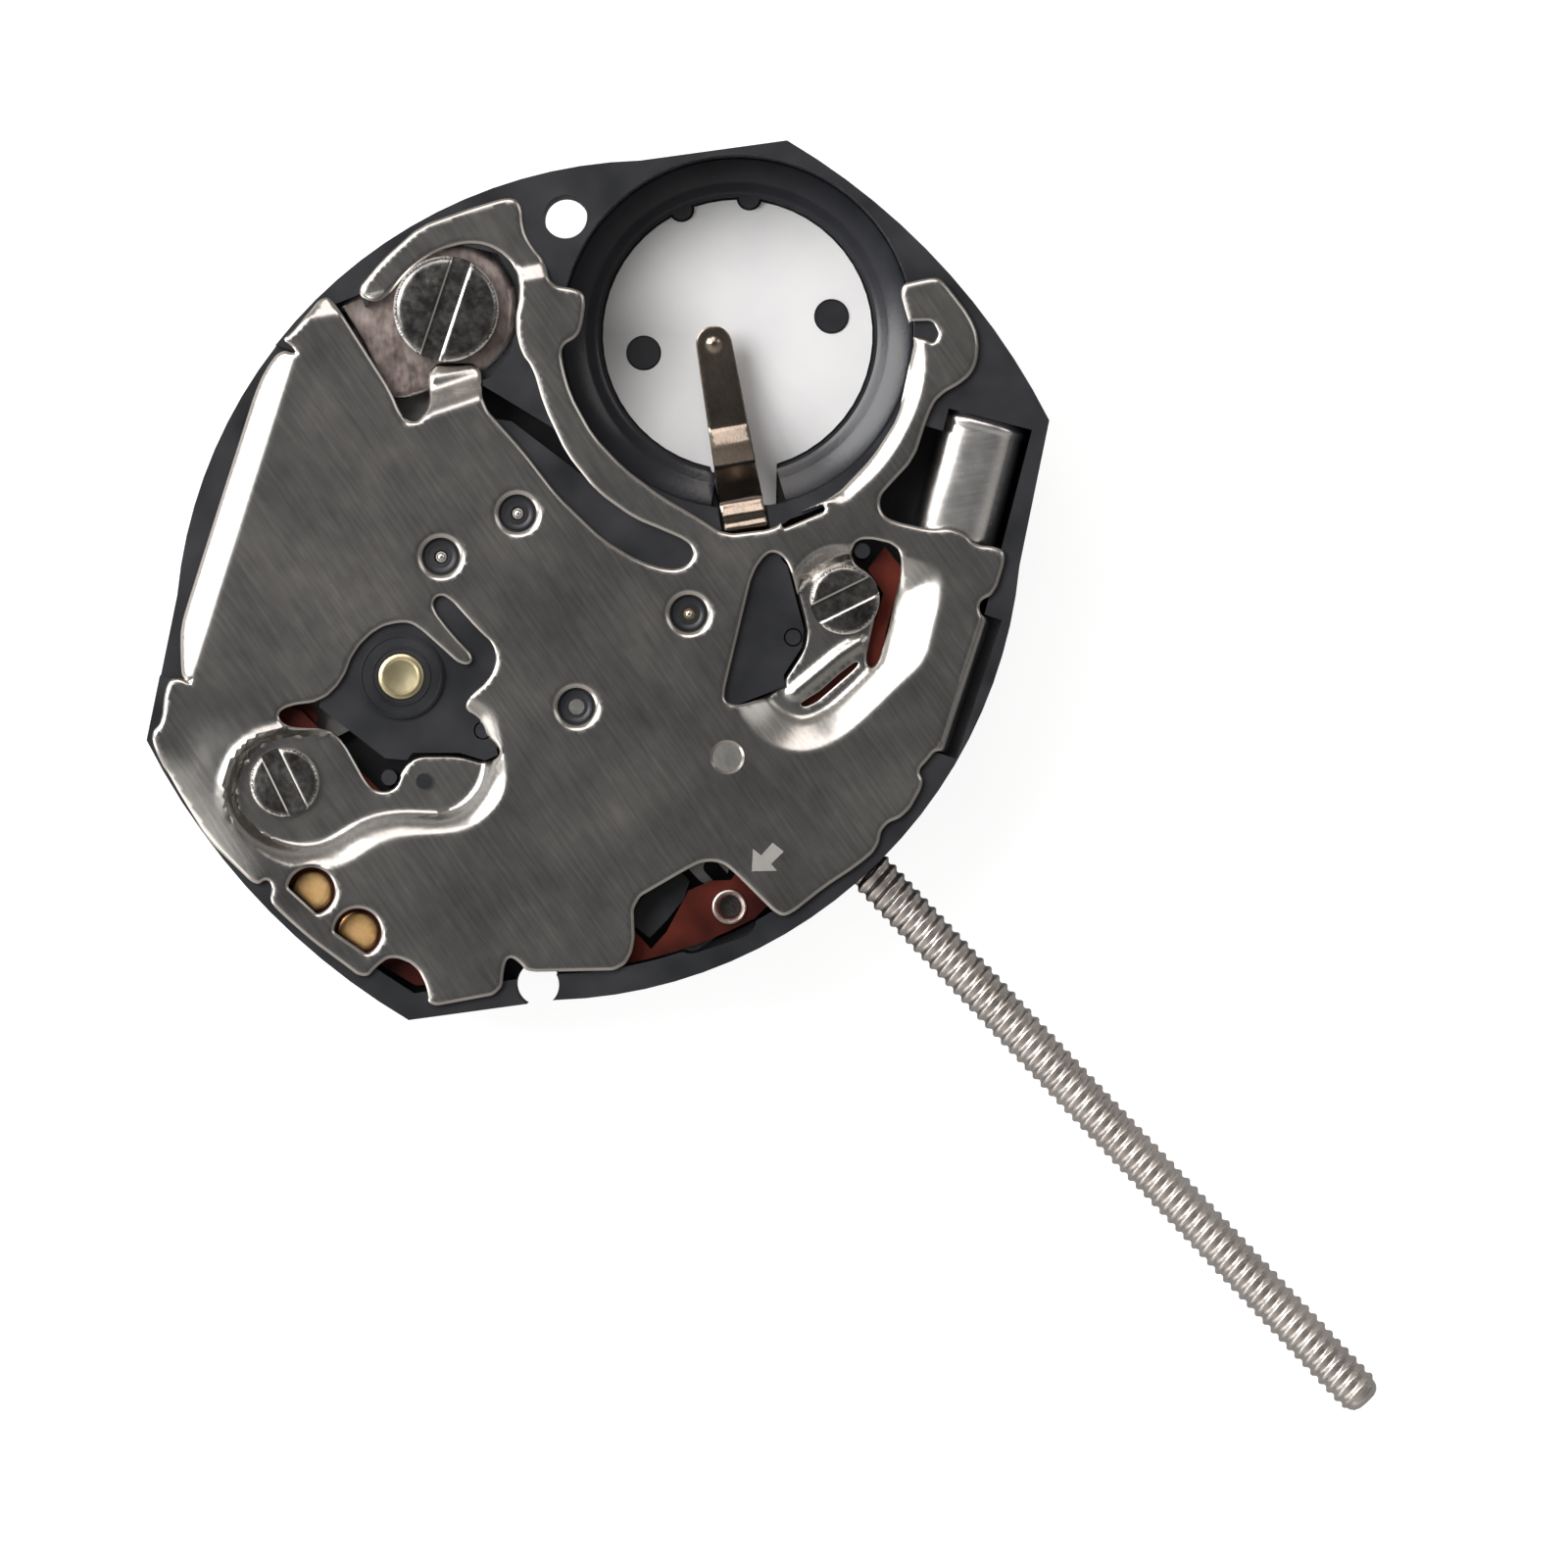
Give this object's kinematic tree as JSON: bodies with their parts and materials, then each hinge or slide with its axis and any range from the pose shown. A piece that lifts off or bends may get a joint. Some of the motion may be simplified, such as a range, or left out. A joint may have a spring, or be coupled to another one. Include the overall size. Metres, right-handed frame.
{
  "type": "quartz watch movement",
  "caption": "Small tonneau-shaped quartz watch movement with a stamped cover, an open battery well, a running train and a long threaded stem.",
  "frame": {"origin": "on the hands' axis, at the level of the face that the dial lies on", "axes": "+X out along the winding stem, +Y from the hands' axis to the battery well, +Z from the dial side to the cover side"},
  "size_m": [0.0295, 0.018, 0.0045],
  "materials": {
    "black_moulding": "smooth black moulded plastic",
    "satin_disc": "pale satin sheet",
    "dark_spring_steel": "dark polished spring steel",
    "bush_brass": "turned brass",
    "cover_steel": "finely grained warm grey steel with bright cut edges",
    "nickel_sheet": "thin pinkish nickel sheet",
    "dark_screw_steel": "dark polished screw steel",
    "board_red_brown": "red-brown board",
    "pad_gold": "gold plated copper",
    "can_silver": "bright drawn can",
    "core_iron": "soft magnetic alloy",
    "copper_wire": "fine enamelled copper wire",
    "magnet_dark": "dark sintered magnet",
    "polished_steel": "polished steel",
    "moulded_wheel": "pale moulded plastic wheel on its arbor",
    "wheel_brass": "brass wheel"
  },
  "bodies": {
    "movement": {"main_plate": "black_moulding", "battery_floor_disc": "satin_disc", "battery_minus_strip": "dark_spring_steel", "train_wheel_bridge": "black_moulding", "rotor_bush": "bush_brass", "circuit_cover": "cover_steel", "cover_clamp_sheet": "nickel_sheet", "clamp_screw": "dark_screw_steel", "cover_screws": "dark_screw_steel", "circuit_board": "board_red_brown", "test_pads": "pad_gold", "ic_chip": "black_moulding", "quartz_crystal": "can_silver", "coil_core": "core_iron", "coil_winding": "copper_wire", "coil_lead_board": "board_red_brown", "stator": "core_iron", "minute_wheel_stud": "polished_steel", "motion_guard": "polished_steel", "guard_screws": "dark_screw_steel"},
    "rotor": {"rotor_magnet": "magnet_dark", "rotor_arbor": "polished_steel"},
    "sixth_wheel_body": {"sixth_wheel": "moulded_wheel"},
    "fifth_wheel_body": {"fifth_wheel": "moulded_wheel"},
    "fourth_wheel_body": {"fourth_wheel": "wheel_brass"},
    "third_wheel_body": {"third_wheel": "wheel_brass"},
    "center_wheel_body": {"center_wheel": "wheel_brass"},
    "minute_wheel_body": {"minute_wheel": "wheel_brass"},
    "hour_wheel_body": {"hour_wheel": "wheel_brass"},
    "setting_wheel_body": {"setting_wheel": "polished_steel"},
    "yoke_body": {"yoke": "polished_steel"},
    "clutch_body": {"clutch_wheel": "polished_steel"},
    "stem_body": {"winding_stem": "polished_steel"},
    "setting_lever_body": {"setting_lever": "polished_steel"},
    "reset_lever_body": {"reset_lever": "polished_steel"}
  },
  "joints": [
    {"name": "seconds", "type": "hinge", "parent": "movement", "child": "fourth_wheel_body", "pos_m": [0, 0, 0.00162], "axis": [0, 0, 1], "continuous": true},
    {"name": "fifth_spin", "type": "hinge", "parent": "movement", "child": "fifth_wheel_body", "pos_m": [-0.002, -0.00025, 0.00183], "axis": [0, 0, 1], "continuous": true},
    {"name": "sixth_spin", "type": "hinge", "parent": "movement", "child": "sixth_wheel_body", "pos_m": [-0.0024, -0.0019, 0.00204], "axis": [0, 0, 1], "continuous": true},
    {"name": "rotor_spin", "type": "hinge", "parent": "movement", "child": "rotor", "pos_m": [-0.00124, -0.00404, 0.00204], "axis": [0, 0, 1], "continuous": true},
    {"name": "third_spin", "type": "hinge", "parent": "movement", "child": "third_wheel_body", "pos_m": [0.00167, 0.00084, 0.00141], "axis": [0, 0, 1], "continuous": true},
    {"name": "minutes", "type": "hinge", "parent": "movement", "child": "center_wheel_body", "pos_m": [0, 0, 0.00105], "axis": [0, 0, 1], "continuous": true},
    {"name": "minute_wheel_spin", "type": "hinge", "parent": "movement", "child": "minute_wheel_body", "pos_m": [0.0015, -0.00197, 0.00038], "axis": [0, 0, 1], "continuous": true},
    {"name": "hours", "type": "hinge", "parent": "movement", "child": "hour_wheel_body", "pos_m": [0, 0, 0.00012], "axis": [0, 0, 1], "continuous": true},
    {"name": "setting_wheel_spin", "type": "hinge", "parent": "movement", "child": "setting_wheel_body", "pos_m": [0.00347, -0.00031, 0.00038], "axis": [0, 0, 1], "continuous": true},
    {"name": "yoke_slide", "type": "slide", "parent": "movement", "child": "yoke_body", "axis": [1, 0, 0], "range_m": [-0.0003, 0]},
    {"name": "stem_spin", "type": "hinge", "parent": "yoke_body", "child": "clutch_body", "pos_m": [0.0045, 0, 0.0011], "axis": [1, 0, 0], "continuous": true},
    {"name": "stem_pull", "type": "slide", "parent": "clutch_body", "child": "stem_body", "axis": [1, 0, 0], "range_m": [0, 0.0011]},
    {"name": "setting_lever_swing", "type": "hinge", "parent": "movement", "child": "setting_lever_body", "pos_m": [0.0062, -0.00335, 0.00179], "axis": [0, 0, 1], "range_deg": [-15.97, 0]},
    {"name": "reset_lever_swing", "type": "hinge", "parent": "movement", "child": "reset_lever_body", "pos_m": [0.0039, -0.0042, 0.00162], "axis": [0, 0, 1], "range_deg": [0, 2.4]}
  ],
  "couplings": [
    {"joint": "fifth_spin", "follows": "seconds", "ratio": -3},
    {"joint": "sixth_spin", "follows": "seconds", "ratio": 6},
    {"joint": "rotor_spin", "follows": "seconds", "ratio": -30},
    {"joint": "third_spin", "follows": "seconds", "ratio": -0.13333},
    {"joint": "minutes", "follows": "seconds", "ratio": 0.016667},
    {"joint": "minute_wheel_spin", "follows": "seconds", "ratio": -0.0041667},
    {"joint": "hours", "follows": "seconds", "ratio": 0.0013889},
    {"joint": "setting_wheel_spin", "follows": "seconds", "ratio": 0.013889},
    {"joint": "yoke_slide", "follows": "stem_pull", "ratio": -0.27273},
    {"joint": "setting_lever_swing", "follows": "stem_pull", "rad_per_m": -253.34},
    {"joint": "reset_lever_swing", "follows": "stem_pull", "rad_per_m": 38.08}
  ]
}
